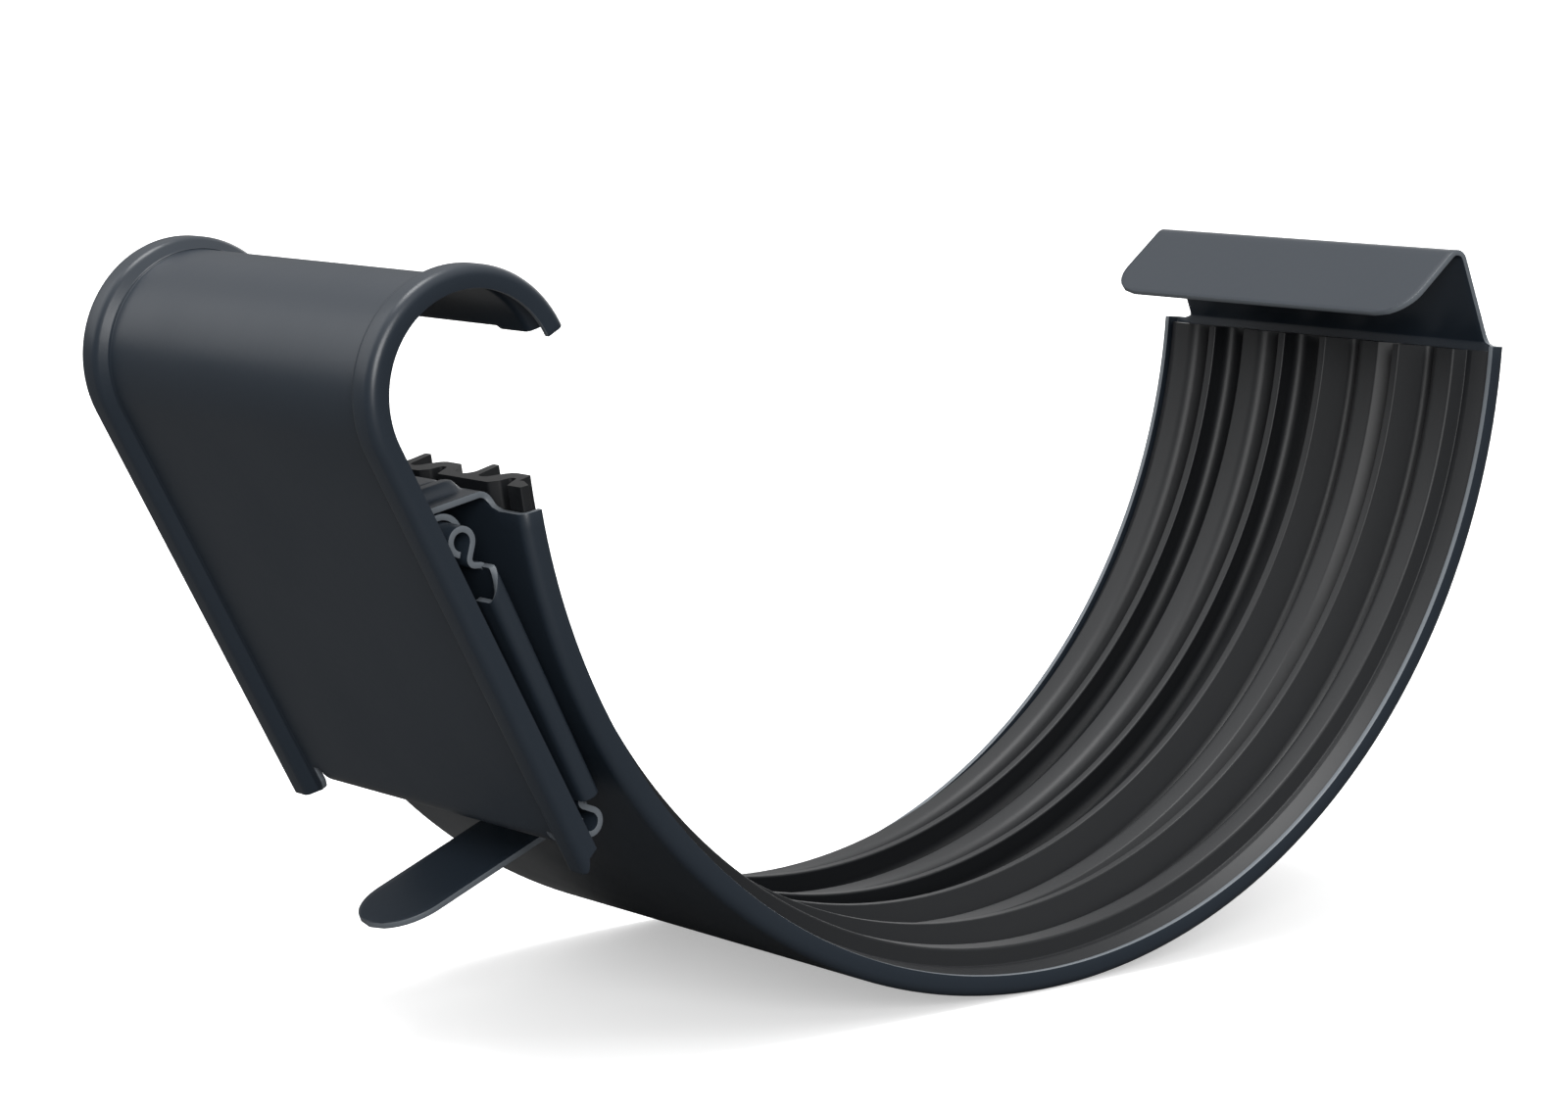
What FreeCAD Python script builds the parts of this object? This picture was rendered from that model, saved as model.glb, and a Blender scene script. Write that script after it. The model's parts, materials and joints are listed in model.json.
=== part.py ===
import FreeCAD, Part
import math
import os
import Sketcher

# Gutter union: a strap of folded sheet holds a rubber seal round the joint of two half-round
# gutters, and an over-centre latch of a link and a clasp pulls its hook down on the front bead.
# The origin lies on the axis of the strap's arc, at mid width. X runs along the gutter,
# -Y points to the latch, +Y to the rear tab and +Z up.

SIZES = {
    "sheet_gauge": 0.6,
    "fold_radius": 0.7,
    # strap
    "strap_radius": 65.0,
    "strap_width": 49.6,
    "lip_depth": 2.15,
    "front_drop": 10.9,
    "rear_drop": 4.46,
    # neck with its sleeve
    "neck_shoulder": 5.3,
    "neck_slope": 12.0,
    "neck_fold_radius": 1.0,
    "hem_gap": 0.15,
    "hem_clearance": 0.7,
    "sleeve_clearance": 0.15,
    "sleeve_end": -20.0,
    "panel_margin": 3.0,
    "panel_height": 0.8,
    "panel_inset": 0.5,
    # rear tab
    "tab_shoulder": 2.6,
    "tab_root": 0.4,
    "tab_lean": 22.4,
    "tab_height": 11.35,
    "tab_crown_radius": 1.15,
    "flap_drop": 38.0,
    "flap_length": 11.5,
    "flap_corner": 4.0,
    # tongue lanced out of the strap
    "tongue_width": 8.6,
    "tongue_length": 20.4,
    "tongue_place": 45.9,
    "tongue_drop": 22.4,
    "tongue_root": 0.65,
    "tongue_fold_radius": 0.9,
    "slit_gap": 0.3,
    # latch: the link and the clasp stand back from the strap's sides
    "latch_setback": 0.2,
    # eyes of the link
    "eye_outer": 1.45,
    "eye_inset": 2.1,
    "eye_stand": 5.19,
    "eye_drop": 11.905,
    "eye_mouth": 35.0,
    "eye_crossing": 0.4,
    "eye_tail": 2.2,
    "eye_step": 0.8,
    # channel of the link
    "link_pitch": 29.96,
    "link_tilt": 27.12,
    "link_depth": 2.05,
    "link_setback": 1.3,
    "channel_end": 2.95,
    "channel_lip": 3.0,
    "channel_slant": 2.2,
    # clasp
    "clasp_tilt": 28.5,
    "hook_radius": 11.0,
    "rim_depth": 2.1,
    "rim_width": 3.4,
    "rim_rise": 1.2,
    "joggle_run": 2.4,
    "hook_sweep": 180.0,
    "hook_step": 0.34,
    "hook_step_inset": 7.6,
    "foot_reach": 41.63,
    "foot_offset": 7.26,
    "roll_inset": 5.8,
    "roll_end": 355.0,
    "notch_width": 1.1,
    "ear_reach": 2.97,
    "ear_lip_reach": 1.37,
    "ear_corner": 1.2,
    # seal
    "seal_gap": 0.15,
    "seal_side_gap": 0.2,
    "seal_web": 1.15,
    "seal_rise": 4.05,
    "seal_pitch": 10.8,
    "seal_lip": 0.3,
    "seal_front_drop": 8.9,
    "seal_rear_drop": 5.0,
    "loop_start": 4.4,
    "loop_end": 0.4,
    "loop_top": 1.8,
    "loop_slope": 2.6,
    "loop_steep": 1.45,
    "loop_wall": 1.35,
    "loop_round": 1.1,
    "loop_root_round": 0.6,
    "hollow_shift": 0.375,
    "hollow_width": 0.85,
    "hollow_foot": 1.4,
    "hollow_toe": 0.85,
    "fin_place": 3.1,
    "fin_base": 2.15,
    "fin_lean": 2.4,
    "fin_tip": 0.75,
    "fin_height": 5.2,
}

ORIGIN_AXIS = FreeCAD.Vector(1, 0, 0)

os.makedirs("parts", exist_ok=True)
doc = FreeCAD.newDocument("GutterUnion")
sheet = doc.addObject("Spreadsheet::Sheet", "Sizes")
for row, (alias, value) in enumerate(SIZES.items(), start=1):
    sheet.set("A%d" % row, alias)
    sheet.set("B%d" % row, str(value))
    sheet.setAlias("B%d" % row, alias)
doc.recompute()

# Every width follows the strap's, less a named clearance on each side.
NECK_WIDTH = "Sizes.strap_width - 2 * Sizes.neck_shoulder"
PANEL_WIDTH = NECK_WIDTH + " - 2 * Sizes.panel_margin"
TAB_WIDTH = "Sizes.strap_width - 2 * Sizes.tab_shoulder"
LATCH_WIDTH = "Sizes.strap_width - 2 * Sizes.latch_setback"
EYE_WIDTH = LATCH_WIDTH + " - 2 * Sizes.eye_inset"
STEP_WIDTH = LATCH_WIDTH + " - 2 * Sizes.hook_step_inset"
ROLL_WIDTH = LATCH_WIDTH + " - 2 * Sizes.roll_inset"


def size(alias):
    return float(sheet.get(alias))


# Flat geometry. A run is a list of straights and arcs along the middle of a sheet.


def point_at(angle, radius, centre=(0.0, 0.0)):
    turn = math.radians(angle)
    return (centre[0] + radius * math.cos(turn), centre[1] + radius * math.sin(turn))


def moved(point, direction, distance):
    return (point[0] + direction[0] * distance, point[1] + direction[1] * distance)


def heading(start, end):
    length = math.dist(start, end)
    return ((end[0] - start[0]) / length, (end[1] - start[1]) / length)


def crossing(first, first_way, second, second_way):
    """Where two lines meet, each given by a point and a direction."""
    spread = first_way[0] * second_way[1] - first_way[1] * second_way[0]
    along = ((second[0] - first[0]) * second_way[1] - (second[1] - first[1]) * second_way[0]) / spread
    return moved(first, first_way, along)


def straight(start, end):
    return {"kind": "line", "start": start, "end": end}


def arc(centre, radius, begin, finish):
    return {"kind": "arc", "centre": centre, "radius": radius, "begin": begin, "finish": finish}


def bend(before, corner, after, radius):
    """The arc that rounds a corner between two straights."""
    way_in = heading(before, corner)
    way_out = heading(corner, after)
    turn = math.atan2(way_in[0] * way_out[1] - way_in[1] * way_out[0],
                      way_in[0] * way_out[0] + way_in[1] * way_out[1])
    bend_start = moved(corner, way_in, -radius * math.tan(abs(turn) / 2))
    side = math.copysign(1.0, turn)
    centre = moved(bend_start, (-way_in[1] * side, way_in[0] * side), radius)
    begin = math.degrees(math.atan2(bend_start[1] - centre[1], bend_start[0] - centre[0]))
    return arc(centre, radius, begin, begin + math.degrees(turn))


def folded(points, radius):
    """The run through the points, with every inner corner bent to the radius."""
    run = []
    start = points[0]
    for index in range(1, len(points) - 1):
        corner_arc = bend(points[index - 1], points[index], points[index + 1], radius)
        bend_start, bend_end = piece_ends(corner_arc)
        run.append(straight(start, bend_start))
        run.append(corner_arc)
        start = bend_end
    run.append(straight(start, points[-1]))
    return run


def rounded(corners):
    """The closed outline through corners of (x, y, radius). A radius of 0 stays sharp."""
    outline = []
    count = len(corners)
    points = [corner[:2] for corner in corners]
    start = points[-1]
    for index, (point, (_, _, radius)) in enumerate(zip(points, corners)):
        if radius == 0:
            outline.append(straight(start, point))
            start = point
            continue
        corner_arc = bend(points[index - 1], point, points[(index + 1) % count], radius)
        bend_start, bend_end = piece_ends(corner_arc)
        outline.append(straight(start, bend_start))
        outline.append(corner_arc)
        start = bend_end
    return outline


def offset_piece(piece, distance):
    """The same straight or arc, shifted to the left of its direction of travel."""
    if piece["kind"] == "line":
        way = heading(piece["start"], piece["end"])
        left = (-way[1], way[0])
        return straight(moved(piece["start"], left, distance), moved(piece["end"], left, distance))
    inward = math.copysign(1.0, piece["finish"] - piece["begin"])
    return arc(piece["centre"], piece["radius"] - inward * distance, piece["begin"], piece["finish"])


def reversed_piece(piece):
    if piece["kind"] == "line":
        return straight(piece["end"], piece["start"])
    return arc(piece["centre"], piece["radius"], piece["finish"], piece["begin"])


def piece_ends(piece):
    if piece["kind"] == "line":
        return piece["start"], piece["end"]
    return (point_at(piece["begin"], piece["radius"], piece["centre"]),
            point_at(piece["finish"], piece["radius"], piece["centre"]))


def thickened(run, gauge):
    """The closed outline of a sheet of that gauge laid along the run."""
    left = [offset_piece(piece, gauge / 2) for piece in run]
    right = [reversed_piece(offset_piece(piece, -gauge / 2)) for piece in reversed(run)]
    far_cap = straight(piece_ends(left[-1])[1], piece_ends(right[0])[0])
    near_cap = straight(piece_ends(right[-1])[1], piece_ends(left[0])[0])
    return left + [far_cap] + right + [near_cap]


def polygon(points):
    return [straight(points[index - 1], points[index]) for index in range(len(points))]


def corner_outline(across, end, way, radius):
    """What a rounded corner takes off a plate that ends downwards at end. way points off its side."""
    centre = (across - way * radius, end + radius)
    side_angle = 360.0 if way > 0 else 180.0
    below = end - radius
    beside = across + way * radius
    return [arc(centre, radius, 270.0, side_angle), straight((across, centre[1]), (beside, centre[1])),
            straight((beside, centre[1]), (beside, below)), straight((beside, below), (centre[0], below)),
            straight((centre[0], below), (centre[0], end))]


# Sketches and features


def origin_plane(body, role):
    for feature in body.Origin.OriginFeatures:
        if feature.Role == role:
            return feature
    raise ValueError(role)


def add_outline(sketch, outline):
    """Adds a closed outline and ties each piece's end to the start of the next."""
    first = sketch.GeometryCount
    ends = []
    for piece in outline:
        if piece["kind"] == "line":
            start, end = (FreeCAD.Vector(*point, 0) for point in piece_ends(piece))
            sketch.addGeometry(Part.LineSegment(start, end), False)
            ends.append((1, 2))
            continue
        circle = Part.Circle(FreeCAD.Vector(*piece["centre"], 0), FreeCAD.Vector(0, 0, 1), piece["radius"])
        low, high = sorted((math.radians(piece["begin"]), math.radians(piece["finish"])))
        sketch.addGeometry(Part.ArcOfCircle(circle, low, high), False)
        ends.append((1, 2) if piece["finish"] > piece["begin"] else (2, 1))
    count = len(outline)
    for index in range(count):
        after = (index + 1) % count
        sketch.addConstraint(Sketcher.Constraint("Coincident", first + index, ends[index][1],
                                                 first + after, ends[after][0]))


def add_sketch(body, name, role, *outlines):
    sketch = body.newObject("Sketcher::SketchObject", name)
    sketch.AttachmentSupport = (origin_plane(body, role), "")
    sketch.MapMode = "FlatFace"
    for outline in outlines:
        add_outline(sketch, outline)
    doc.recompute()
    return sketch


def add_across(body, kind, name, sketch, width):
    """A pad or pocket to both sides of the middle plane, as wide as the expression says."""
    feature = body.newObject("PartDesign::" + kind, name)
    feature.Profile = sketch
    feature.SideType = "Symmetric"
    feature.setExpression("Length", width)
    body.Tip = feature
    doc.recompute()
    return feature


def add_turned(body, name, sketch, rear, front):
    """A revolution about the gutter's axis, to the rear and to the front of its section."""
    feature = body.newObject("PartDesign::Revolution", name)
    feature.Profile = sketch
    feature.ReferenceAxis = (sketch, ["H_Axis"])
    feature.Type = "TwoAngles"
    feature.setExpression("Angle", rear)
    feature.setExpression("Angle2", front)
    body.Tip = feature
    doc.recompute()
    return feature


def add_fillet(body, name, picked, radius):
    """Rounds the edges of the tip whose middle and direction the picker accepts."""
    base = body.Tip
    names = []
    for index, edge in enumerate(base.Shape.Edges, start=1):
        if edge.Curve.TypeId != "Part::GeomLine":
            continue
        if picked(edge.CenterOfMass, edge.tangentAt(edge.FirstParameter), edge.Length):
            names.append("Edge%d" % index)
    fillet = body.newObject("PartDesign::Fillet", name)
    fillet.Base = (base, names)
    fillet.setExpression("Radius", radius)
    body.Tip = fillet
    doc.recompute()
    return fillet


def channel_run(half_width, web, rim, radius):
    """A web with a side wall at each end, as a run in a plane across the sheet."""
    return folded([(-half_width, rim), (-half_width, web), (half_width, web), (half_width, rim)], radius)


gauge = size("sheet_gauge")
fold = size("fold_radius")
strap_middle = size("strap_radius") - gauge / 2
latch_width = size("strap_width") - 2 * size("latch_setback")
front_angle = 180.0 + size("front_drop")

# Places of the two hinges and of the hook, from the strap outwards: the upper eye stands off the
# strap, the link leads down to the lower eye, and the clasp leads up from there to the hook.
upper_eye = point_at(180.0 + size("eye_drop"), size("strap_radius") + size("eye_stand"))
lower_eye = point_at(size("link_tilt") - 90.0, size("link_pitch"), upper_eye)
foot_length = math.hypot(size("foot_reach"), size("foot_offset"))
foot_angle = math.degrees(math.atan2(size("foot_reach"), size("foot_offset")))
hook_centre = point_at(foot_angle + size("clasp_tilt"), foot_length, lower_eye)
plate_outward = point_at(180.0 + size("clasp_tilt"), 1.0)


def make_strap():
    body = doc.addObject("PartDesign::Body", "Strap")
    body.Label = "strap"

    section = channel_run((size("strap_width") - gauge) / 2, -strap_middle,
                          size("lip_depth") - size("strap_radius"), fold)
    section_sketch = add_sketch(body, "StrapSection", "XZ_Plane", thickened(section, gauge))
    add_turned(body, "StrapArc", section_sketch, "90 - Sizes.rear_drop", "90 - Sizes.front_drop")

    # The neck rises off the arc, folds outwards and hems back under itself, and its end rolls
    # over the link's upper eye. The hem lies just inside the clasp's plate.
    root = point_at(front_angle, strap_middle)
    rise = point_at(front_angle - 90.0, 1.0)
    outward = point_at(180.0 + size("neck_slope"), 1.0)
    up = point_at(90.0 + size("neck_slope"), 1.0)
    sleeve_radius = size("eye_outer") + size("sleeve_clearance") + gauge / 2
    hem_pitch = gauge + size("hem_gap")
    return_start = moved(upper_eye, up, sleeve_radius)
    shelf_start = moved(return_start, up, hem_pitch)
    neck_corner = crossing(root, rise, shelf_start, outward)
    plate_inside = moved(hook_centre, plate_outward, size("hook_radius") - size("rim_rise") - gauge)
    plate_way = (-plate_outward[1], plate_outward[0])
    reach = crossing(shelf_start, outward, plate_inside, plate_way)
    hem_setback = size("hem_clearance") + (gauge + hem_pitch) / 2
    hem_centre = moved(moved(reach, outward, -hem_setback), up, -hem_pitch / 2)
    hem_top = moved(hem_centre, up, hem_pitch / 2)
    hem_turn = 90.0 + size("neck_slope")
    neck = folded([root, neck_corner, hem_top], size("neck_fold_radius"))
    neck.append(arc(hem_centre, hem_pitch / 2, hem_turn, hem_turn + 180.0))
    neck.append(straight(moved(hem_centre, up, -hem_pitch / 2), return_start))
    neck.append(arc(upper_eye, sleeve_radius, hem_turn, size("sleeve_end")))
    neck_sketch = add_sketch(body, "NeckRun", "YZ_Plane", thickened(neck, gauge))
    add_across(body, "Pad", "Neck", neck_sketch, NECK_WIDTH)

    # The raised panel stands on the shelf and is hollow below, so the sheet keeps its gauge.
    panel_start = moved(neck_corner, outward, size("panel_inset"))
    panel_end = moved(hem_top, outward, -gauge)
    panel_lift = size("panel_height") / 2
    panel = straight(moved(panel_start, up, panel_lift), moved(panel_end, up, panel_lift))
    panel_sketch = add_sketch(body, "PanelRun", "YZ_Plane",
                              thickened([panel], gauge + size("panel_height")))
    add_across(body, "Pad", "Panel", panel_sketch, PANEL_WIDTH)
    below = panel_lift - gauge / 2
    hollow_start = moved(moved(panel_start, outward, gauge), up, below)
    hollow_end = moved(moved(panel_end, outward, -gauge), up, below)
    hollow_sketch = add_sketch(body, "PanelHollowRun", "YZ_Plane",
                               thickened([straight(hollow_start, hollow_end)], size("panel_height")))
    add_across(body, "Pocket", "PanelHollow", hollow_sketch, PANEL_WIDTH + " - 2 * Sizes.sheet_gauge")

    # The tab leans in over the rear edge of the gutter and its flap folds forwards and down.
    tab_start = point_at(-size("rear_drop"), strap_middle)
    tab_root = moved(tab_start, point_at(90.0 - size("rear_drop"), 1.0), size("tab_root"))
    tab_crown = moved(tab_root, point_at(90.0 + size("tab_lean"), 1.0), size("tab_height"))
    tab_edge = moved(tab_crown, point_at(180.0 + size("flap_drop"), 1.0), size("flap_length"))
    lower_tab = folded([tab_start, tab_root, moved(tab_root, heading(tab_root, tab_crown),
                                                   size("tab_height") / 2)], fold)
    upper_tab = folded([lower_tab[-1]["end"], tab_crown, tab_edge], size("tab_crown_radius"))
    tab_sketch = add_sketch(body, "TabRun", "YZ_Plane", thickened(lower_tab + upper_tab, gauge))
    add_across(body, "Pad", "Tab", tab_sketch, TAB_WIDTH)

    # The tongue is cut free on three sides and bent out of its window.
    tongue_angle = 180.0 + size("tongue_place")
    tongue_start = point_at(tongue_angle, strap_middle)
    tongue_corner = moved(tongue_start, point_at(tongue_angle - 90.0, 1.0), size("tongue_root"))
    tongue_tip = moved(tongue_corner, point_at(180.0 + size("tongue_drop"), 1.0), size("tongue_length"))
    cut_length = size("tongue_root") + size("tongue_length") + size("slit_gap")
    cut_sweep = math.degrees(cut_length / strap_middle)
    window = arc((0.0, 0.0), strap_middle, tongue_angle, tongue_angle - cut_sweep)
    window_sketch = add_sketch(body, "TongueWindowRun", "YZ_Plane", thickened([window], 2 * gauge))
    add_across(body, "Pocket", "TongueWindow", window_sketch, "Sizes.tongue_width + 2 * Sizes.slit_gap")
    tongue = folded([tongue_start, tongue_corner, tongue_tip], size("tongue_fold_radius"))
    tongue_sketch = add_sketch(body, "TongueRun", "YZ_Plane", thickened(tongue, gauge))
    add_across(body, "Pad", "Tongue", tongue_sketch, "Sizes.tongue_width")

    def at_tongue_tip(middle, way, length):
        near = math.dist((middle.y, middle.z), tongue_tip) < gauge
        return near and abs(way.x) < 0.5 and length < 2 * gauge

    def at_flap_corner(middle, way, length):
        near = math.dist((middle.y, middle.z), tab_edge) < gauge
        return near and abs(way.x) < 0.5 and length < 2 * gauge

    add_fillet(body, "TongueEnd", at_tongue_tip, "Sizes.tongue_width / 2 - 0.05")
    add_fillet(body, "FlapCorners", at_flap_corner, "Sizes.flap_corner")
    return body


def seal_section():
    """The seal's outline across the strap: hollow loops with a leaning fin between each two."""
    floor = -(size("strap_radius") - gauge - size("seal_gap"))
    half = size("strap_width") / 2 - gauge - size("seal_side_gap")
    web = floor + size("seal_web")
    crest = floor + size("seal_rise")
    ceiling = crest - size("loop_wall")
    spread = 2 * half - size("loop_start") - size("loop_end")
    count = max(1, round(spread / size("seal_pitch")))
    tops = [half - size("loop_start") - index * spread / count for index in range(count + 1)]

    upper = [(half, floor, 0), (half, floor + size("seal_lip"), 0)]
    hollows = []
    for index, top in enumerate(tops):
        right = top + size("loop_top") / 2
        hollow_right = top + size("hollow_shift") + size("hollow_width") / 2
        if index > 0:
            upper.append((right + size("loop_slope"), web, 0))
        upper.append((right, crest, size("loop_round")))
        if index == count:
            upper += [(-half, crest, 0), (-half, floor, 0)]
            hollows.append([(hollow_right + size("hollow_foot"), floor, 0),
                            (-half + size("seal_web"), ceiling, 0), (-half + size("seal_web"), floor, 0)])
            break
        left = right - size("loop_top")
        upper.append((left, crest, size("loop_round")))
        upper.append((left - size("loop_steep"), web, size("loop_root_round")))
        fin = top - size("fin_place")
        tip = fin - size("fin_lean")
        upper += [(fin, web, 0), (tip, floor + size("fin_height"), 0),
                  (tip - size("fin_tip"), floor + size("fin_height"), 0), (fin - size("fin_base"), web, 0)]
        hollow_left = hollow_right - size("hollow_width")
        hollows.append([(hollow_right + size("hollow_foot"), floor, 0), (hollow_right, ceiling, 0),
                        (hollow_left, ceiling, 0), (hollow_left, floor + size("hollow_toe"), 0),
                        (hollow_left - size("hollow_toe"), floor, 0)])
    lower = []
    for hollow in reversed(hollows):
        lower += reversed(hollow)
    return rounded(upper + lower)


def make_seal():
    body = doc.addObject("PartDesign::Body", "Seal")
    body.Label = "seal"
    section_sketch = add_sketch(body, "SealSection", "XZ_Plane", seal_section())
    add_turned(body, "SealArc", section_sketch, "90 - Sizes.seal_rear_drop", "90 - Sizes.seal_front_drop")
    return body


def make_link():
    body = doc.addObject("PartDesign::Body", "Link")
    body.Label = "link"
    half_pitch = size("link_pitch") / 2
    web = size("link_setback") - gauge / 2
    front = web - size("link_depth") + gauge
    side = (latch_width - gauge) / 2
    inner = latch_width / 2 - size("channel_lip")

    # Channel with lips turned in, open towards the clasp
    section = folded([(-inner, front), (-side, front), (-side, web), (side, web), (side, front),
                      (inner, front)], fold)
    section_sketch = add_sketch(body, "ChannelSection", "XY_Plane", thickened(section, gauge))
    add_across(body, "Pad", "Channel", section_sketch, "Sizes.link_pitch - 2 * Sizes.channel_end")
    top = half_pitch - size("channel_end")
    behind = web - gauge / 2
    ahead = front - gauge
    slope = size("channel_slant") / (behind - front)
    slant = polygon([(behind, top), (ahead, top - slope * (behind - ahead)), (ahead, top + gauge),
                     (behind, top + gauge)])
    slant_sketch = add_sketch(body, "SlantedEnd", "YZ_Plane", slant)
    add_across(body, "Pocket", "SlantedCorners", slant_sketch, LATCH_WIDTH + " + Sizes.sheet_gauge")

    # The sheet leaves the web, steps out past the eye's centre and rolls back over the top.
    eye = (0.0, half_pitch)
    eye_radius = size("eye_outer") - gauge / 2
    outer_corner = (-size("eye_crossing"), half_pitch - size("eye_tail"))
    inner_corner = (web, outer_corner[1] - size("eye_step"))
    distance = math.dist(eye, outer_corner)
    toward = math.degrees(math.atan2(outer_corner[1] - eye[1], outer_corner[0] - eye[0]))
    leaves = toward + math.degrees(math.acos(eye_radius / distance))
    mouth = -90.0 - size("eye_mouth")
    roll = [arc(eye, eye_radius, mouth + 360.0, leaves)]
    tail = folded([point_at(leaves, eye_radius, eye), outer_corner, inner_corner, (web, 0.0)],
                  gauge)
    strip_sketch = add_sketch(body, "EyeRun", "YZ_Plane", thickened(roll + tail, gauge))
    strip = add_across(body, "Pad", "Eye", strip_sketch, EYE_WIDTH)
    mirrored = body.newObject("PartDesign::Mirrored", "LowerEye")
    mirrored.Originals = [strip]
    mirrored.MirrorPlane = (origin_plane(body, "XY_Plane"), [""])
    body.Tip = mirrored
    doc.recompute()
    middle = ((upper_eye[0] + lower_eye[0]) / 2, (upper_eye[1] + lower_eye[1]) / 2)
    body.Placement = FreeCAD.Placement(FreeCAD.Vector(0, *middle),
                                       FreeCAD.Rotation(ORIGIN_AXIS, size("link_tilt")))
    return body


def make_clasp():
    body = doc.addObject("PartDesign::Body", "Clasp")
    body.Label = "clasp"
    side = (latch_width - gauge) / 2
    rim = gauge / 2 - size("hook_radius")
    middle = rim + size("rim_rise")
    rim_end = latch_width / 2 - size("rim_width")
    panel_end = rim_end - size("joggle_run")
    lip = size("rim_depth") - size("hook_radius")
    section = folded([(-side, lip), (-side, rim), (-rim_end, rim), (-panel_end, middle),
                      (panel_end, middle), (rim_end, rim), (side, rim), (side, lip)], fold)
    section_sketch = add_sketch(body, "ClaspSection", "XY_Plane", thickened(section, gauge))

    # Plate down to the ears, and the hook over the bead
    plate = body.newObject("PartDesign::Pad", "Plate")
    plate.Profile = section_sketch
    plate.Reversed = True
    plate.setExpression("Length", "Sizes.foot_reach + Sizes.ear_reach")
    body.Tip = plate
    doc.recompute()
    hook = body.newObject("PartDesign::Revolution", "Hook")
    hook.Profile = section_sketch
    hook.ReferenceAxis = (section_sketch, ["H_Axis"])
    hook.Reversed = True
    hook.setExpression("Angle", "Sizes.hook_sweep")
    body.Tip = hook
    doc.recompute()

    # The hook's free edge steps back between the rims.
    step = polygon([(size("hook_radius") - 2 * size("rim_rise"), -gauge),
                    (size("hook_radius"), -gauge),
                    (size("hook_radius"), size("hook_step")),
                    (size("hook_radius") - 2 * size("rim_rise"), size("hook_step"))])
    step_sketch = add_sketch(body, "HookStep", "YZ_Plane", step)
    add_across(body, "Pocket", "HookEdge", step_sketch, STEP_WIDTH)

    # Between the ears the plate ends where its roll begins, and the rims' lips end above the ears.
    foot = -size("foot_reach")
    bottom = foot - size("ear_reach") - gauge
    outside = -size("hook_radius") - gauge
    inside = lip + gauge
    clear = polygon([(outside, foot), (outside, bottom), (inside, bottom), (inside, foot)])
    clear_sketch = add_sketch(body, "FootClearing", "YZ_Plane", clear)
    add_across(body, "Pocket", "Foot", clear_sketch, ROLL_WIDTH + " + 2 * Sizes.notch_width")
    lip_end = foot - size("ear_lip_reach")
    lips = polygon([(rim + gauge / 2, lip_end), (rim + gauge / 2, bottom), (inside, bottom),
                    (inside, lip_end)])
    lip_sketch = add_sketch(body, "EarLips", "YZ_Plane", lips)
    add_across(body, "Pocket", "EarLipEnds", lip_sketch, LATCH_WIDTH + " + Sizes.sheet_gauge")

    # Both lower corners of each ear are rounded.
    ear_end = foot - size("ear_reach")
    ear_inside = latch_width / 2 - size("roll_inset") + size("notch_width")
    corners = []
    for side_sign in (-1, 1):
        corners.append(corner_outline(side_sign * ear_inside, ear_end, -side_sign, size("ear_corner")))
        corners.append(corner_outline(side_sign * latch_width / 2, ear_end, side_sign, size("ear_corner")))
    corner_sketch = add_sketch(body, "EarCornerCuts", "XZ_Plane", *corners)
    add_across(body, "Pocket", "EarCorners", corner_sketch, "4 * Sizes.hook_radius")

    # The foot of the plate rolls under the link's lower eye.
    eye = (-size("foot_offset"), foot)
    roll = [arc(eye, -middle - size("foot_offset"), 180.0, size("roll_end"))]
    roll_sketch = add_sketch(body, "RollRun", "YZ_Plane", thickened(roll, gauge))
    add_across(body, "Pad", "Roll", roll_sketch, ROLL_WIDTH)
    body.Placement = FreeCAD.Placement(FreeCAD.Vector(0, *hook_centre),
                                       FreeCAD.Rotation(ORIGIN_AXIS, size("clasp_tilt")))
    return body


bodies = [make_strap(), make_seal(), make_link(), make_clasp()]
doc.recompute()

for item in doc.Objects:
    if "Invalid" in item.State or "Error" in item.State:
        raise RuntimeError("%s failed: %s" % (item.Name, item.State))
for body in bodies:
    shape = body.Shape
    if shape.isNull() or not shape.isValid() or len(shape.Solids) != 1:
        raise RuntimeError("%s is not one valid solid" % body.Label)
    shape.exportStep("parts/%s.step" % body.Label)
    box = shape.optimalBoundingBox(False, False)
    print("%-6s volume %9.2f  x %7.2f %7.2f  y %7.2f %7.2f  z %7.2f %7.2f" % (
        body.Label, shape.Volume, box.XMin, box.XMax, box.YMin, box.YMax, box.ZMin, box.ZMax))
print("upper eye %.3f %.3f" % upper_eye)
print("lower eye %.3f %.3f" % lower_eye)
print("hook centre %.3f %.3f" % hook_centre)
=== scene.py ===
import bmesh
import bpy
import json
import math
from mathutils import Matrix, Vector
from mathutils.geometry import tessellate_polygon


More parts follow.
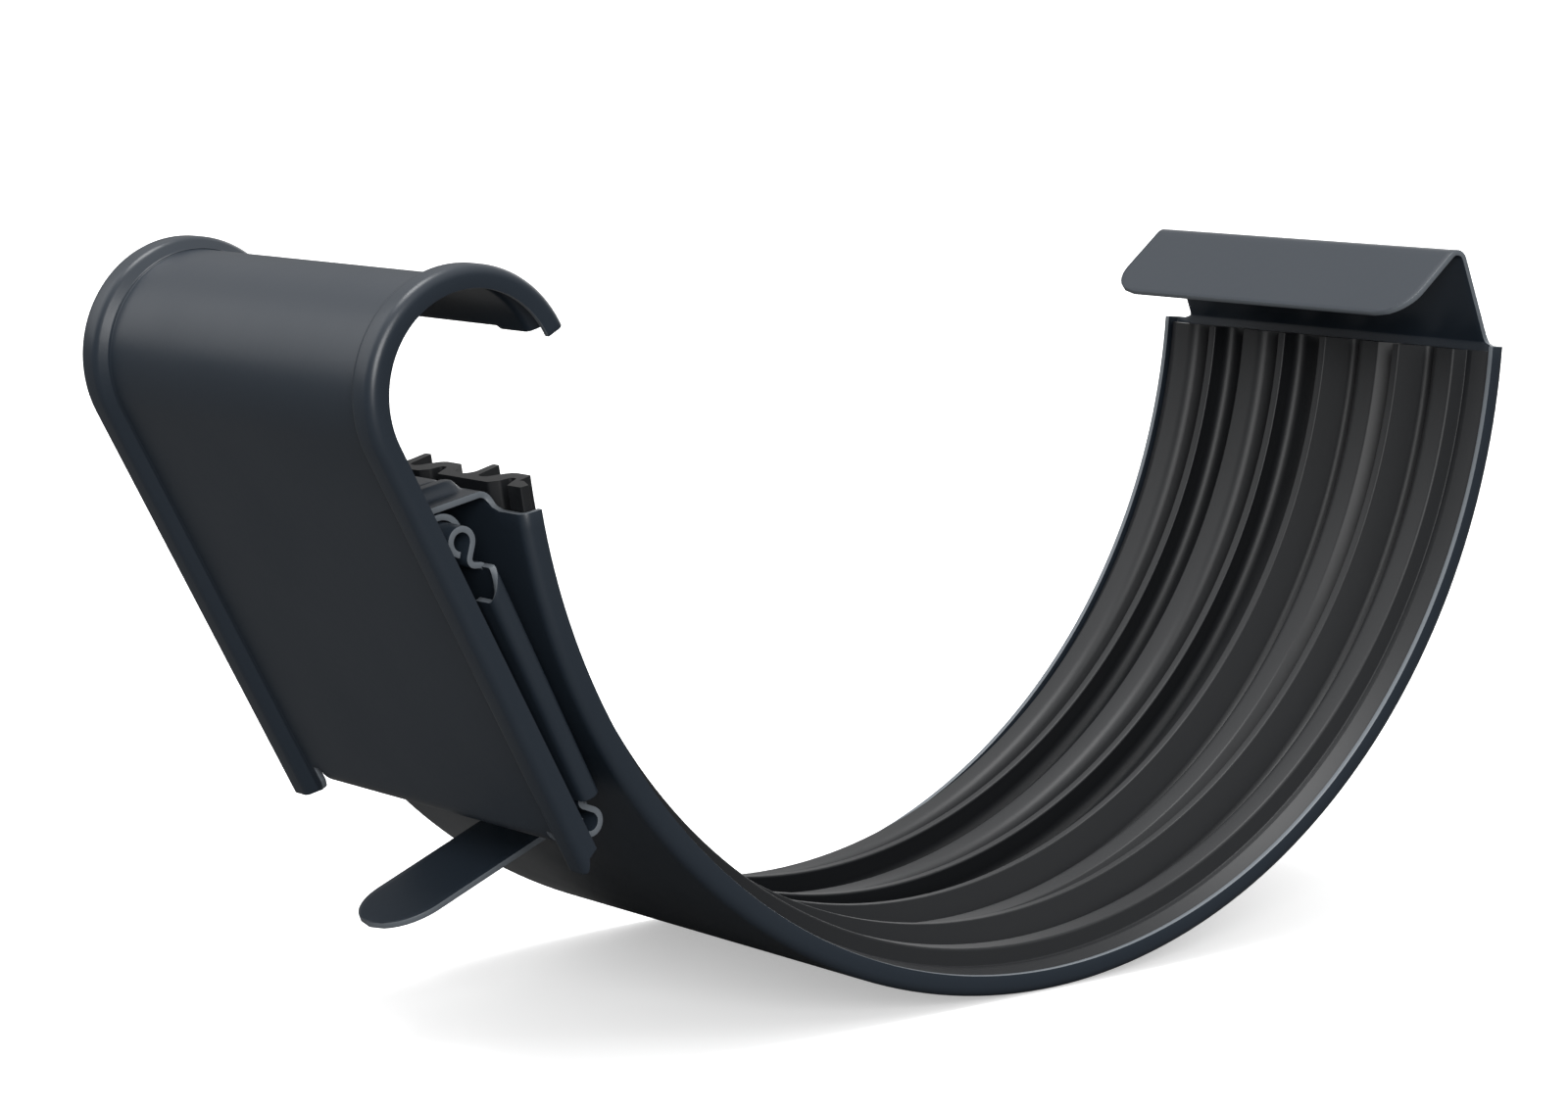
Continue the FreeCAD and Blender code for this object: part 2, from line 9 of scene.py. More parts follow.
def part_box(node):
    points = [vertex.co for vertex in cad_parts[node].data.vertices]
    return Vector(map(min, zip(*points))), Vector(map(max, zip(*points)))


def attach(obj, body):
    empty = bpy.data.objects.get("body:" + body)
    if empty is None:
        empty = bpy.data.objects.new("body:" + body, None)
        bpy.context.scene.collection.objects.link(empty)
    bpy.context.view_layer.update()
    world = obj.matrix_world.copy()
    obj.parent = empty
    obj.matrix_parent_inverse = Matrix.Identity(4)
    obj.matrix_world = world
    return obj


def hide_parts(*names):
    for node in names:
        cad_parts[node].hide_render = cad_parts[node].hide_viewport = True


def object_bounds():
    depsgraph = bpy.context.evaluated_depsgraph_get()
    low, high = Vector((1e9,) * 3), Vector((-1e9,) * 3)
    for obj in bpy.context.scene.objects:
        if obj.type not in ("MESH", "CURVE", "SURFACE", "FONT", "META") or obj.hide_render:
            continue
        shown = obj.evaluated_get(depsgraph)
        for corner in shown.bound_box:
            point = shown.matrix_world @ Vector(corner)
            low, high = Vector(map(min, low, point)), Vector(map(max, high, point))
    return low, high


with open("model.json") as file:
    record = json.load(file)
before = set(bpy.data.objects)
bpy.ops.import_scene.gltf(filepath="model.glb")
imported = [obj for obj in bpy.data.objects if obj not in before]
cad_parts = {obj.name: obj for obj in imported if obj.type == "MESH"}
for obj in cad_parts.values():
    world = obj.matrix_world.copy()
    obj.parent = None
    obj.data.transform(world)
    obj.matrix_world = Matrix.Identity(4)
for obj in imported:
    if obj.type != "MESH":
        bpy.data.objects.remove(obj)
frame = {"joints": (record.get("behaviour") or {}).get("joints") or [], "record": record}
cadLow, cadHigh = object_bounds()

sceneNow = bpy.context.scene
sceneNow.view_settings.view_transform = "Standard"
mm = 0.001
tiny = 1e-6  # places nearer than this count as the same


# Places from the frame, as (Y, Z) in millimetres, seen from the gutter's end
def sideSpot(place):
    return (place[1] / mm, place[2] / mm)


def ownSize(nodeName):
    low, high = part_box(nodeName)
    return low / mm, high / mm


hinges = {joint["name"]: sideSpot(joint["pos_m"]) for joint in frame["joints"]}
upperEye = hinges["link_hinge"]
lowerEye = hinges["clasp_hinge"]
hookCentre = next(sideSpot(mount["pos_m"]) for mount in frame["record"]["mounts"]
                  if mount["name"] == "bead_hook")
strapLow, strapHigh = ownSize("strap")
latchLow, latchHigh = ownSize("clasp")
print("gutter union: frame loaded, eyes at", upperEye, lowerEye)


# Lines in a plane: points in millimetres, angles in degrees
def polar(angle, radius, centre=(0.0, 0.0)):
    turn = math.radians(angle)
    return (centre[0] + radius * math.cos(turn), centre[1] + radius * math.sin(turn))


def along(point, way, distance):
    return (point[0] + way[0] * distance, point[1] + way[1] * distance)


def wayTo(start, end):
    length = math.dist(start, end)
    return ((end[0] - start[0]) / length, (end[1] - start[1]) / length)


def angleOf(start, end):
    return math.degrees(math.atan2(end[1] - start[1], end[0] - start[0]))


def meeting(first, firstWay, second, secondWay):
    spread = firstWay[0] * secondWay[1] - firstWay[1] * secondWay[0]
    reach = ((second[0] - first[0]) * secondWay[1] - (second[1] - first[1]) * secondWay[0]) / spread
    return along(first, firstWay, reach)


def arcPoints(centre, radius, begin, finish, facet=9.0):
    count = max(2, math.ceil(abs(finish - begin) / facet))
    return [polar(begin + (finish - begin) * i / count, radius, centre) for i in range(count + 1)]


def cornerArc(before, corner, after, radius, facet=12.0):
    # the points of the arc that rounds a corner
    wayIn = wayTo(before, corner)
    wayOut = wayTo(corner, after)
    turn = math.atan2(wayIn[0] * wayOut[1] - wayIn[1] * wayOut[0],
                      wayIn[0] * wayOut[0] + wayIn[1] * wayOut[1])
    bendStart = along(corner, wayIn, -radius * math.tan(abs(turn) / 2))
    side = math.copysign(1.0, turn)
    centre = along(bendStart, (-wayIn[1] * side, wayIn[0] * side), radius)
    begin = angleOf(centre, bendStart)
    return arcPoints(centre, radius, begin, begin + math.degrees(turn), facet)


def bentLine(corners, radius):
    # the line through the corners, each inner one bent to the radius
    line = [corners[0]]
    for i in range(1, len(corners) - 1):
        line += cornerArc(corners[i - 1], corners[i], corners[i + 1], radius)
    return line + [corners[-1]]


def joined(*lines):
    # one line out of several, without the doubled points where they meet
    whole = []
    for line in lines:
        for point in line:
            if not whole or math.dist(whole[-1], point) > tiny:
                whole.append(point)
    return whole


def divided(line, longest):
    # the same line with no stretch longer than that
    fine = [line[0]]
    for start, end in zip(line, line[1:]):
        count = math.ceil(math.dist(start, end) / longest - tiny)
        for i in range(1, count + 1):
            share = i / count
            fine.append((start[0] + (end[0] - start[0]) * share, start[1] + (end[1] - start[1]) * share))
    return fine


def cutAt(line, places):
    # the same line with a point wherever its first coordinate passes one of the places
    fine = [line[0]]
    for start, end in zip(line, line[1:]):
        low = min(start[0], end[0]) + tiny
        high = max(start[0], end[0]) - tiny
        crossed = [place for place in places if low < place < high]
        for place in sorted(crossed, reverse=end[0] < start[0]):
            share = (place - start[0]) / (end[0] - start[0])
            fine.append((place, start[1] + (end[1] - start[1]) * share))
        fine.append(end)
    return fine


def travelled(line):
    run = [0.0]
    for start, end in zip(line, line[1:]):
        run.append(run[-1] + math.dist(start, end))
    return run


def steps(places, longest):
    # the places in order, with more between them where they lie far apart
    return [point[0] for point in divided([(place, 0.0) for place in sorted(places)], longest)]


def mirroredPlaces(*places):
    return [sign * place for place in places for sign in (-1, 1)]


def smooth(low, high, value):
    share = min(1.0, max(0.0, (value - low) / (high - low)))
    return share * share * (3 - 2 * share)


def roundedLoss(distance, radius):
    # what a rounded corner takes off, so far from the end that it rounds
    if distance >= radius:
        return 0.0
    return radius - math.sqrt(max(0.0, radius * radius - (radius - distance) ** 2))


def squeezed(x, inner, rootHalf, half):
    # x moved so that what reached rootHalf now reaches half, with everything inside inner as it was
    if abs(x) <= inner:
        return x
    return math.copysign(inner + (abs(x) - inner) * (half - inner) / (rootHalf - inner), x)


# Sheet metal: a middle surface that gets its gauge and softened cut edges
sheetMetal = {
    "gauge": 0.6,
    "bend": 0.7,
    "softEdge": 0.07,
    "softAngle": 50.0,
    "softSegments": 2,
    "shadeAngle": 32.0,
    "weld": 0.004,
}


def addGrid(mesh, rows, keep=None):
    made = [[mesh.verts.new(Vector(point) * mm) for point in row] for row in rows]
    for i in range(len(rows) - 1):
        for j in range(len(rows[i]) - 1):
            if keep is None or keep(i, j):
                mesh.faces.new((made[i][j], made[i][j + 1], made[i + 1][j + 1], made[i + 1][j]))


def addPiece(name, mesh, finishes, body, node):
    for place, finish in enumerate(finishes):
        if place < len(mesh.materials):
            mesh.materials[place] = finish
        else:
            mesh.materials.append(finish)
    piece = bpy.data.objects.new(name, mesh)
    sceneNow.collection.objects.link(piece)
    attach(piece, body)
    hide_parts(node)
    return piece


def shadeSmooth(mesh):
    mesh.shade_smooth()
    mesh.set_sharp_from_angle(angle=math.radians(sheetMetal["shadeAngle"]))


def sheetMesh(name, surface, placing=None):
    bmesh.ops.remove_doubles(surface, verts=surface.verts, dist=sheetMetal["weld"] * mm)
    bmesh.ops.delete(surface, geom=[vert for vert in surface.verts if not vert.link_faces], context="VERTS")
    bmesh.ops.recalc_face_normals(surface, faces=surface.faces)
    if placing is not None:
        surface.transform(placing)
    middle = bpy.data.meshes.new(name + "Middle")
    surface.to_mesh(middle)
    surface.free()
    middle.materials.append(steelFinish)
    middle.materials.append(cutEdgeAndHighlightFinish)
    maker = bpy.data.objects.new(name + "Maker", middle)
    sceneNow.collection.objects.link(maker)
    thick = maker.modifiers.new("gauge", "SOLIDIFY")
    thick.thickness = sheetMetal["gauge"] * mm
    thick.offset = 0.0
    thick.use_quality_normals = True
    # the rim faces, which are the sheet's cut edges, take the second finish: lighter bare metal that is
    # partly a painted highlight
    thick.material_offset_rim = 1
    soft = maker.modifiers.new("softEdges", "BEVEL")
    soft.width = sheetMetal["softEdge"] * mm
    soft.segments = sheetMetal["softSegments"]
    soft.limit_method = "ANGLE"
    soft.angle_limit = math.radians(sheetMetal["softAngle"])
    soft.use_clamp_overlap = False
    graph = bpy.context.evaluated_depsgraph_get()
    mesh = bpy.data.meshes.new_from_object(maker.evaluated_get(graph))
    mesh.name = name
    bpy.data.objects.remove(maker)
    bpy.data.meshes.remove(middle)
    shadeSmooth(mesh)
    return mesh


def placedAt(spot, tilt):
    # from a latch piece's own plane to the frame: turned about X and moved to its spot
    shift = Matrix.Translation(Vector((0.0, *spot)) * mm)
    return shift @ Matrix.Rotation(math.radians(tilt), 4, "X")


# Finishes
def srgb(red, green, blue):
    # 0 to 255 as seen on screen, turned into the linear colour that a shader takes
    def linear(value):
        value = value / 255
        return value / 12.92 if value <= 0.04045 else ((value + 0.055) / 1.055) ** 2.4
    return (linear(red), linear(green), linear(blue), 1.0)


def newMaterial(name):
    material = bpy.data.materials.new(name)
    material.use_nodes = True
    tree = material.node_tree
    return material, tree, tree.nodes["Principled BSDF"]


def addNode(tree, kind, **values):
    node = tree.nodes.new(kind)
    for key, value in values.items():
        setattr(node, key, value)
    return node


def setInputs(node, **values):
    for key, value in values.items():
        node.inputs[key.replace("_", " ")].default_value = value


# coated steel: anthracite powder coat with a fine orange peel
coat = {
    "colour": srgb(36, 44, 53),
    # lighter colour of the bare cut edges, partly a painted highlight as bright as the light those edges
    # catch
    "cutEdgeColourAndHighlight": srgb(104, 110, 116),
    "roughness": 0.36,
    "peelScale": 900.0,
    "peelDetail": 1.5,
    "peelStrength": 0.35,
    "peelBump": 0.00002,
    "patchScale": 55.0,
    "patchDetail": 3.0,
    "patchLow": 0.3,
    "patchHigh": 0.7,
    "patchSpread": 0.05,
}


def coatedSteel(name, colour):
    material, tree, shader = newMaterial(name)
    shader.inputs["Base Color"].default_value = colour
    place = addNode(tree, "ShaderNodeTexCoord")
    patches = addNode(tree, "ShaderNodeTexNoise")
    setInputs(patches, Scale=coat["patchScale"], Detail=coat["patchDetail"])
    level = addNode(tree, "ShaderNodeMapRange")
    setInputs(level, From_Min=coat["patchLow"], From_Max=coat["patchHigh"])
    level.inputs["To Min"].default_value = coat["roughness"] - coat["patchSpread"]
    level.inputs["To Max"].default_value = coat["roughness"] + coat["patchSpread"]
    peel = addNode(tree, "ShaderNodeTexNoise")
    setInputs(peel, Scale=coat["peelScale"], Detail=coat["peelDetail"])
    bump = addNode(tree, "ShaderNodeBump")
    setInputs(bump, Strength=coat["peelStrength"], Distance=coat["peelBump"])
    wire = tree.links.new
    wire(place.outputs["Object"], patches.inputs["Vector"])
    wire(patches.outputs["Fac"], level.inputs["Value"])
    wire(level.outputs["Result"], shader.inputs["Roughness"])
    wire(place.outputs["Object"], peel.inputs["Vector"])
    wire(peel.outputs["Fac"], bump.inputs["Height"])
    wire(bump.outputs["Normal"], shader.inputs["Normal"])
    return material


# seal rubber: matt black with a faint bloom
rubber = {
    "colour": srgb(20, 22, 25),
    "roughness": 0.5,
    "grainScale": 700.0,
    "grainDetail": 2.0,
    "grainStrength": 0.3,
    "grainBump": 0.00003,
}


def sealRubber():
    material, tree, shader = newMaterial("sealRubber")
    shader.inputs["Base Color"].default_value = rubber["colour"]
    shader.inputs["Roughness"].default_value = rubber["roughness"]
    place = addNode(tree, "ShaderNodeTexCoord")
    grain = addNode(tree, "ShaderNodeTexNoise")
    setInputs(grain, Scale=rubber["grainScale"], Detail=rubber["grainDetail"])
    bump = addNode(tree, "ShaderNodeBump")
    setInputs(bump, Strength=rubber["grainStrength"], Distance=rubber["grainBump"])
    wire = tree.links.new
    wire(place.outputs["Object"], grain.inputs["Vector"])
    wire(grain.outputs["Fac"], bump.inputs["Height"])
    wire(bump.outputs["Normal"], shader.inputs["Normal"])
    return material


steelFinish = coatedSteel("coatedSteel", coat["colour"])
# the cut-edge finish: lighter bare metal, and partly a painted highlight on the edges
cutEdgeAndHighlightFinish = coatedSteel("bareEdgeAndPaintedHighlight", coat["cutEdgeColourAndHighlight"])
steelFinishes = [steelFinish, cutEdgeAndHighlightFinish]
rubberFinish = sealRubber()
print("gutter union: finishes set")


# clasp: the hook, the plate, the ears and the roll. The strap's neck below reaches to its plate
clasp = {
    "hook": 10.7,
    "panel": 9.5,
    "rimDepth": 8.9,
    "rimHalf": 21.9,
    "panelHalf": 21.0,
    "footReach": 41.63,
    "footOffset": 7.26,
    "rollHalf": 18.8,
    "rollEnd": 355.0,
    "notchHalf": 19.9,
    "notchTop": 0.45,
    "earReach": 2.97,
    "earLipReach": 1.37,
    "earCorner": 1.2,
    "earRows": 8,
    "earLipClear": 0.15,
    "earLipFade": 0.8,
    "stepHalf": 17.0,
    "stepFade": 0.5,
    "step": 0.34,
    "columnStep": 1.5,
    "footRow": 1.0,
    "plateStep": 4.0,
    "hookTurn": 3.0,
    "rollTurn": 8.0,
}
claspTilt = angleOf(lowerEye, hookCentre)
claspTilt -= math.degrees(math.atan2(clasp["footReach"], clasp["footOffset"]))


# strap: the half-round sheet with its lips, the neck with panel, hem and sleeve, the tab and the tongue
strap = {
    "lipDepth": 2.15,
    "frontDrop": 10.9,
    "rearDrop": 4.46,
    "turnStep": 1.5,
    "columnStep": 1.2,
    "panelStep": 0.22,
    "panelSpare": 0.2,
    # neck
    "neckHalf": 19.5,
    "neckRoot": 1.6,
    "neckSlope": 12.0,
    "neckBend": 1.0,
    "hemGap": 0.15,
    "hemShort": 0.7,
    "sleeveInside": 1.6,
    "sleeveEnd": -20.0,
    "shelfStep": 0.35,
    "hemTurn": 20.0,
    "returnStep": 1.2,
    # raised panel: places across from the middle, then heights
    "panelFoot": 17.4,
    "ribOutside": 16.3,
    "ribInside": 15.6,
    "grooveAt": 14.7,
    "panelInside": 13.8,
    "panelHeight": 0.8,
    "ribHeight": 1.05,
    "grooveHeight": 0.55,
    "panelStart": 0.4,
    "panelRamp": 1.0,
    # tab
    "tabHalf": 22.2,
    "tabRelief": 0.9,
    "tabRoot": 0.4,
    "tabLean": 22.4,
    "tabHeight": 11.35,
    "crownBend": 1.3,
    "flapDrop": 38.0,
    "flapLength": 11.5,
    "flapCorner": 4.0,
    "tabFlare": 6.0,
    "tabStep": 0.5,
    # tongue
    "tongueHalf": 4.9,
    "tongueShift": 0.6,
    "tongueLength": 19.8,
    "tonguePlace": 45.9,
    "tongueDrop": 22.4,
    "tongueRoot": 0.65,
    "tongueBend": 0.9,
    "tongueFlat": 0.1,
    "tongueStep": 0.4,
    "slit": 0.3,
}


def panelRise(across, way, length):
    # height of the raised panel above the shelf: a rib along each side, a groove and a broad top
    x = abs(across)
    rib = strap["ribHeight"]
    groove = strap["grooveHeight"]
    profile = rib * (1 - smooth(strap["ribOutside"], strap["panelFoot"], x))
    profile -= (rib - groove) * (1 - smooth(strap["grooveAt"], strap["ribInside"], x))
    profile += (strap["panelHeight"] - groove) * (1 - smooth(strap["panelInside"], strap["grooveAt"], x))
    ramp = strap["panelRamp"]
    return profile * smooth(0.0, ramp, way) * (1 - smooth(length - ramp, length, way))


def neckRows(middle, columns):
    # off the strap, outwards over the panel, round the hem, back and over the link's upper eye
    gauge = sheetMetal["gauge"]
    frontAngle = 180.0 + strap["frontDrop"]
    root = polar(frontAngle, middle)
    rise = polar(frontAngle - 90.0, 1.0)
    outward = polar(180.0 + strap["neckSlope"], 1.0)
    up = polar(90.0 + strap["neckSlope"], 1.0)
    sleeveRadius = strap["sleeveInside"] + gauge / 2
    pitch = gauge + strap["hemGap"]
    returnStart = along(upperEye, up, sleeveRadius)
    corner = meeting(root, rise, along(returnStart, up, pitch), outward)
    plateOutward = polar(180.0 + claspTilt, 1.0)
    plateInside = along(hookCentre, plateOutward, clasp["panel"] - gauge / 2)
    reach = meeting(corner, outward, plateInside, (-plateOutward[1], plateOutward[0]))
    hemTop = along(reach, outward, -strap["hemShort"] - (gauge + pitch) / 2)
    hemCentre = along(hemTop, up, -pitch / 2)
    turn = 90.0 + strap["neckSlope"]
    shelf = divided(bentLine([root, corner, hemTop], strap["neckBend"]), strap["shelfStep"])
    hem = arcPoints(hemCentre, pitch / 2, turn, turn + 180.0, strap["hemTurn"])
    sleeve = arcPoints(upperEye, sleeveRadius, turn, strap["sleeveEnd"])
    line = joined(shelf, hem, divided([hem[-1], returnStart], strap["returnStep"]), sleeve)

    panelFrom = math.dist(root, corner) + strap["panelStart"]
    panelLength = math.dist(corner, hemTop) - strap["panelStart"] - gauge
    rootHalf = strap["neckHalf"] + strap["neckRoot"]
    rows = []
    for point, way in zip(line, travelled(line)):
        half = strap["neckHalf"] + roundedLoss(way, strap["neckRoot"])
        onShelf = len(rows) < len(shelf)
        row = []
        for x in columns:
            if abs(x) > rootHalf + tiny:
                continue
            across = squeezed(x, strap["panelFoot"], rootHalf, half)
            lift = panelRise(across, way - panelFrom, panelLength) if onShelf else 0.0
            row.append((across, point[0] + up[0] * lift, point[1] + up[1] * lift))
        rows.append(row)
    return rows


def tabRows(middle, columns):
    # off the strap's rear end, leaning in, and the flap folded forwards and down with rounded corners
    start = polar(-strap["rearDrop"], middle)
    root = along(start, polar(90.0 - strap["rearDrop"], 1.0), strap["tabRoot"])
    crown = along(root, polar(90.0 + strap["tabLean"], 1.0), strap["tabHeight"])
    edge = along(crown, polar(180.0 + strap["flapDrop"], 1.0), strap["flapLength"])
    line = divided(joined([start], cornerArc(start, root, crown, sheetMetal["bend"]),
                          cornerArc(root, crown, edge, strap["crownBend"]), [edge]), strap["tabStep"])
    run = travelled(line)
    rootHalf = strap["tabHalf"] + strap["tabRelief"]
    rows = []
    for point, way in zip(line, run):
        half = strap["tabHalf"] + roundedLoss(way, strap["tabRelief"])
        half -= roundedLoss(run[-1] - way, strap["flapCorner"])
        rows.append([(squeezed(x, strap["tabHalf"] - strap["tabFlare"], rootHalf, half), *point)
                     for x in columns if abs(x) < rootHalf + tiny])
    return rows


def tongueRows(middle, columns):
    # out of its window and down, with a round end
    angle = 180.0 + strap["tonguePlace"]
    start = polar(angle, middle)
    corner = along(start, polar(angle - 90.0, 1.0), strap["tongueRoot"])
    tip = along(corner, polar(180.0 + strap["tongueDrop"], 1.0), strap["tongueLength"])
    line = divided(bentLine([start, corner, tip], strap["tongueBend"]), strap["tongueStep"])
    run = travelled(line)
    half = strap["tongueHalf"]
    shift = strap["tongueShift"]
    rows = []
    for point, way in zip(line, run):
        share = 1 - roundedLoss(run[-1] - way, half - strap["tongueFlat"]) / half
        rows.append([((x + shift) * share - shift, *point) for x in columns if abs(x + shift) < half + tiny])
    return rows


def buildStrap():
    gauge = sheetMetal["gauge"]
    side = (strapHigh.x - strapLow.x - gauge) / 2
    outer = -strapLow.z
    middle = outer - gauge / 2
    window = strap["tongueHalf"] + strap["slit"]
    shift = strap["tongueShift"]
    cuts = [half + move for half in (strap["tongueHalf"], window) for move in (shift, -shift)]
    roots = (strap["neckHalf"] + strap["neckRoot"], strap["tabHalf"] + strap["tabRelief"])
    columns = steps(mirroredPlaces(0.0, side - sheetMetal["bend"], *cuts, *roots), strap["columnStep"])
    spare = strap["panelSpare"]
    fine = steps([strap["panelInside"] - spare, strap["panelFoot"] + spare], strap["panelStep"])
    columns = sorted({round(x, 4) for x in columns + fine + [-x for x in fine]})
    lipCorners = [(-side, outer - strap["lipDepth"]), (-side, middle), (0.0, middle)]
    lip = bentLine(lipCorners, sheetMetal["bend"])[:-1]
    section = joined(lip, [(x, middle) for x in columns], [(-x, y) for x, y in reversed(lip)])

    cutSweep = math.degrees((strap["tongueRoot"] + strap["tongueLength"] + strap["slit"]) / middle)
    tongueAngle = 180.0 + strap["tonguePlace"]
    bounds = [180.0 + strap["frontDrop"], tongueAngle - cutSweep, tongueAngle, 360.0 - strap["rearDrop"]]
    turns = steps(bounds, strap["turnStep"])
    rows = [[(x, *polar(turn, radius)) for x, radius in section] for turn in turns]

    def outsideWindow(i, j):
        turn = (turns[i] + turns[i + 1]) / 2
        x = (section[j][0] + section[j + 1][0]) / 2
        return not (abs(x + shift) < window and tongueAngle - cutSweep < turn < tongueAngle)

    surface = bmesh.new()
    addGrid(surface, rows, outsideWindow)
    addGrid(surface, neckRows(middle, columns))
    addGrid(surface, tabRows(middle, columns))
    addGrid(surface, tongueRows(middle, columns))
    mesh = sheetMesh("strapSheet", surface)
    return addPiece("strapSheet", mesh, steelFinishes, "base", "strap")


def claspSection():
    # across the clasp: lips, rims and the sunk panel, as (X, outwards)
    side = (latchHigh.x - latchLow.x - sheetMetal["gauge"]) / 2
    half = [(-side, clasp["rimDepth"]), (-side, clasp["hook"]), (-clasp["rimHalf"], clasp["hook"]),
            (-clasp["panelHalf"], clasp["panel"])]
    line = bentLine(half + [(-x, y) for x, y in reversed(half)], sheetMetal["bend"])
    notch = clasp["notchHalf"]
    corner = clasp["earCorner"]
    places = mirroredPlaces(0.0, clasp["stepHalf"], clasp["stepHalf"] - clasp["stepFade"], clasp["rollHalf"],
                            notch, notch + corner / 3, notch + corner)
    return cutAt(line, steps(places, clasp["columnStep"])), side


def earReach(x, outwards, side):
    # how far an ear hangs below the roll's centre, by the place across it
    reach = clasp["earReach"] - roundedLoss(abs(x) - clasp["notchHalf"], clasp["earCorner"])
    lipStart = clasp["hook"] - clasp["earLipClear"]
    fade = clasp["earLipFade"]
    lip = smooth(lipStart, lipStart - fade, outwards) if abs(x) > side - fade else 0.0
    return reach - (clasp["earReach"] - clasp["earLipReach"]) * lip


def buildClasp():
    section, side = claspSection()
    foot = -clasp["footReach"]
    notchTop = foot - clasp["notchTop"]
    heights = [foot] + steps([foot + clasp["footRow"], 0.0], clasp["plateStep"])
    surface = bmesh.new()
    addGrid(surface, [[(x, -y, z) for x, y in section] for z in heights])

    lastTurn = 180.0
    turns = steps([0.0, lastTurn], clasp["hookTurn"])
    hookRows = []
    for turn in turns:
        row = []
        for x, y in section:
            share = 1 - smooth(clasp["stepHalf"] - clasp["stepFade"], clasp["stepHalf"], abs(x))
            short = math.degrees(clasp["step"] / y) * share
            bent = turn * (lastTurn - short) / lastTurn
            row.append((x, *polar(180.0 - bent, y)))
        hookRows.append(row)
    addGrid(surface, hookRows)

    # ears on both sides of the roll
    ears = []
    for i in range(clasp["earRows"] + 1):
        row = []
        for x, y in section:
            reach = earReach(x, y, side) if abs(x) > clasp["notchHalf"] - tiny else clasp["notchTop"]
            row.append((x, -y, foot - reach * i / clasp["earRows"]))
        ears.append(row)

    def inEar(i, j):
        x = abs(section[j][0] + section[j + 1][0]) / 2
        return x > clasp["notchHalf"]

    addGrid(surface, ears, inEar)

    # roll under the link's lower eye
    rollRows = []
    for turn in steps([180.0, clasp["rollEnd"]], clasp["rollTurn"]):
        rollRows.append([(x, *polar(turn, y - clasp["footOffset"], (-clasp["footOffset"], foot)))
                         for x, y in section if abs(x) < clasp["rollHalf"] + tiny])
    addGrid(surface, rollRows)
    mesh = sheetMesh("claspSheet", surface, placedAt(hookCentre, claspTilt))
    return addPiece("claspSheet", mesh, steelFinishes, "clasp", "clasp")


# link: channel with its lips turned in and a rolled eye at each end
link = {
    "depth": 2.05,
    "setback": 1.3,
    "channelEnd": 2.95,
    "lip": 3.0,
    "slant": 1.9,
    "clearEnd": 3.5,
    "columnStep": 3.0,
    "rowStep": 4.0,
    "endRows": 4,
    "eyeRadius": 1.15,
    "eyeInset": 2.1,
    "eyeMouth": 35.0,
    "eyeCrossing": 0.4,
    "eyeTail": 2.2,
    "eyeStep": 0.8,
}


def buildLink():
    gauge = sheetMetal["gauge"]
    half = (latchHigh.x - latchLow.x) / 2
    side = half - gauge / 2
    web = link["setback"] - gauge / 2
    front = web - link["depth"] + gauge
    eyeHalf = half - link["eyeInset"]
    halfPitch = math.dist(upperEye, lowerEye) / 2
    section = bentLine([(link["lip"] - half, front), (-side, front), (-side, web), (side, web), (side, front),
                        (half - link["lip"], front)], sheetMetal["bend"])
    columns = steps(mirroredPlaces(0.0, eyeHalf), link["columnStep"])
    section = cutAt(section, columns)

    # from the web out past the eye's centre and back over the top
    eye = (0.0, halfPitch)
    outerCorner = (-link["eyeCrossing"], halfPitch - link["eyeTail"])
    innerCorner = (web, outerCorner[1] - link["eyeStep"])
    spread = math.acos(link["eyeRadius"] / math.dist(eye, outerCorner))
    leaves = angleOf(eye, outerCorner) + math.degrees(spread)
    tail = bentLine([polar(leaves, link["eyeRadius"], eye), outerCorner, innerCorner, (web, 0.0)], gauge)[:-1]
    roll = arcPoints(eye, link["eyeRadius"], 270.0 - link["eyeMouth"], leaves)
    strip = list(reversed(joined(roll, tail)))
    bendStart = strip[0][1]

    surface = bmesh.new()
    clear = bendStart - link["clearEnd"]
    addGrid(surface, [[(x, y, z) for x, y in section] for z in steps([-clear, clear], link["rowStep"])])
    end = halfPitch - link["channelEnd"]

    def besideEye(i, j):
        return abs(section[j][0] + section[j + 1][0]) / 2 > eyeHalf or section[j][1] < web - tiny

    for way, slant in ((1, link["slant"]), (-1, 0.0)):
        ends = [end - slant * max(0.0, web - y) for x, y in section]
        shared = [min(bendStart, place) for place in ends]
        for begin, finish, keep in (([clear] * len(section), shared, None), (shared, ends, besideEye)):
            addGrid(surface, [[(x, y, way * (low + (high - low) * i / link["endRows"]))
                               for (x, y), low, high in zip(section, begin, finish)]
                              for i in range(link["endRows"] + 1)], keep)
        addGrid(surface, [[(x, y, way * z) for x in columns if abs(x) < eyeHalf + tiny] for y, z in strip])
    tilt = angleOf(upperEye, lowerEye) + 90.0
    middle = ((upperEye[0] + lowerEye[0]) / 2, (upperEye[1] + lowerEye[1]) / 2)
    mesh = sheetMesh("linkSheet", surface, placedAt(middle, tilt))
    return addPiece("linkSheet", mesh, steelFinishes, "link", "link")


